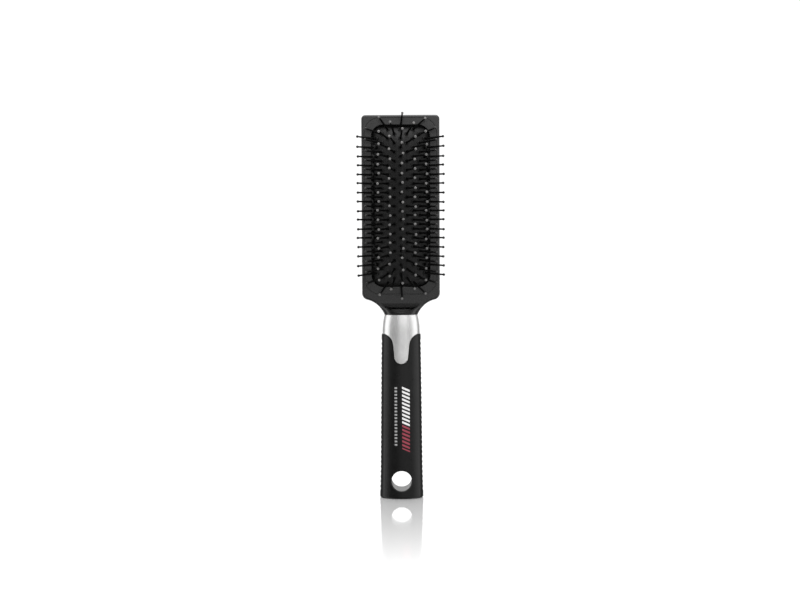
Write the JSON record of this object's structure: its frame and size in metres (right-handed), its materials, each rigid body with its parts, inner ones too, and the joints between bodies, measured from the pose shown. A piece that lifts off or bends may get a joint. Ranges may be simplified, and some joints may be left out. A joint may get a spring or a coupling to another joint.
{
  "type": "cushion pin brush",
  "caption": "Rectangular pneumatic-cushion styling brush with splayed ball-tipped pins, a silver neck ferrule with a tongue, and a ribbed soft-touch handle with a hanging hole.",
  "frame": {"origin": "centre of the handle's flat end", "axes": "+Z along the brush towards the head, -Y out of the pinned face, +X to the right seen from the pinned face"},
  "size_m": [0.0544, 0.0395, 0.2411],
  "materials": {
    "head_plastic": "satin black moulded plastic",
    "frame_plastic": "satin black moulded plastic",
    "cushion_rubber": "black rubber with a fine dotted face",
    "core_plastic": "black moulded plastic",
    "ferrule_silver": "satin silver metallised plastic",
    "grip_rubber": null,
    "pin_nylon": "black nylon pins",
    "tip_bead": "glossy dark grey ball tips"
  },
  "bodies": {
    "brush": {"head_shell": "head_plastic", "cushion_frame": "frame_plastic", "rubber_cushion": "cushion_rubber", "handle_core": "core_plastic", "ferrule": "ferrule_silver", "grip_sleeve": "grip_rubber"},
    "pin_row_centre": {"pins_centre": "pin_nylon", "tips_centre": "tip_bead"},
    "pin_row_left_1": {"pins_left_1": "pin_nylon", "tips_left_1": "tip_bead"},
    "pin_row_left_2": {"pins_left_2": "pin_nylon", "tips_left_2": "tip_bead"},
    "pin_row_left_3": {"pins_left_3": "pin_nylon", "tips_left_3": "tip_bead"},
    "pin_row_left_4": {"pins_left_4": "pin_nylon", "tips_left_4": "tip_bead"},
    "pin_row_right_1": {"pins_right_1": "pin_nylon", "tips_right_1": "tip_bead"},
    "pin_row_right_2": {"pins_right_2": "pin_nylon", "tips_right_2": "tip_bead"},
    "pin_row_right_3": {"pins_right_3": "pin_nylon", "tips_right_3": "tip_bead"},
    "pin_row_right_4": {"pins_right_4": "pin_nylon", "tips_right_4": "tip_bead"},
    "pin_row_top_end": {"pins_top_end": "pin_nylon", "tips_top_end": "tip_bead"},
    "pin_row_bottom_end": {"pins_bottom_end": "pin_nylon", "tips_bottom_end": "tip_bead"}
  },
  "joints": [
    {"name": "cushion_press", "type": "slide", "parent": "brush", "child": "pin_row_centre", "axis": [0, 1, 0], "range_m": [0, 0.003], "stiffness_N_per_m": 4000, "deforming": ["rubber_cushion"]},
    {"name": "press_left_1", "type": "slide", "parent": "brush", "child": "pin_row_left_1", "axis": [0, 1, 0], "range_m": [0, 0.00285]},
    {"name": "press_left_2", "type": "slide", "parent": "brush", "child": "pin_row_left_2", "axis": [0, 1, 0], "range_m": [0, 0.0024]},
    {"name": "press_left_3", "type": "slide", "parent": "brush", "child": "pin_row_left_3", "axis": [0, 1, 0], "range_m": [0, 0.00165]},
    {"name": "press_left_4", "type": "slide", "parent": "brush", "child": "pin_row_left_4", "axis": [0, 1, 0], "range_m": [0, 0.00081]},
    {"name": "press_right_1", "type": "slide", "parent": "brush", "child": "pin_row_right_1", "axis": [0, 1, 0], "range_m": [0, 0.00285]},
    {"name": "press_right_2", "type": "slide", "parent": "brush", "child": "pin_row_right_2", "axis": [0, 1, 0], "range_m": [0, 0.0024]},
    {"name": "press_right_3", "type": "slide", "parent": "brush", "child": "pin_row_right_3", "axis": [0, 1, 0], "range_m": [0, 0.00165]},
    {"name": "press_right_4", "type": "slide", "parent": "brush", "child": "pin_row_right_4", "axis": [0, 1, 0], "range_m": [0, 0.00081]},
    {"name": "press_top_end", "type": "slide", "parent": "brush", "child": "pin_row_top_end", "axis": [0, 1, 0], "range_m": [0, 0.00105]},
    {"name": "press_bottom_end", "type": "slide", "parent": "brush", "child": "pin_row_bottom_end", "axis": [0, 1, 0], "range_m": [0, 0.00105]}
  ],
  "couplings": [
    {"joint": "press_left_1", "follows": "cushion_press", "ratio": 0.95},
    {"joint": "press_left_2", "follows": "cushion_press", "ratio": 0.8},
    {"joint": "press_left_3", "follows": "cushion_press", "ratio": 0.55},
    {"joint": "press_left_4", "follows": "cushion_press", "ratio": 0.27},
    {"joint": "press_right_1", "follows": "cushion_press", "ratio": 0.95},
    {"joint": "press_right_2", "follows": "cushion_press", "ratio": 0.8},
    {"joint": "press_right_3", "follows": "cushion_press", "ratio": 0.55},
    {"joint": "press_right_4", "follows": "cushion_press", "ratio": 0.27},
    {"joint": "press_top_end", "follows": "cushion_press", "ratio": 0.35},
    {"joint": "press_bottom_end", "follows": "cushion_press", "ratio": 0.35}
  ]
}
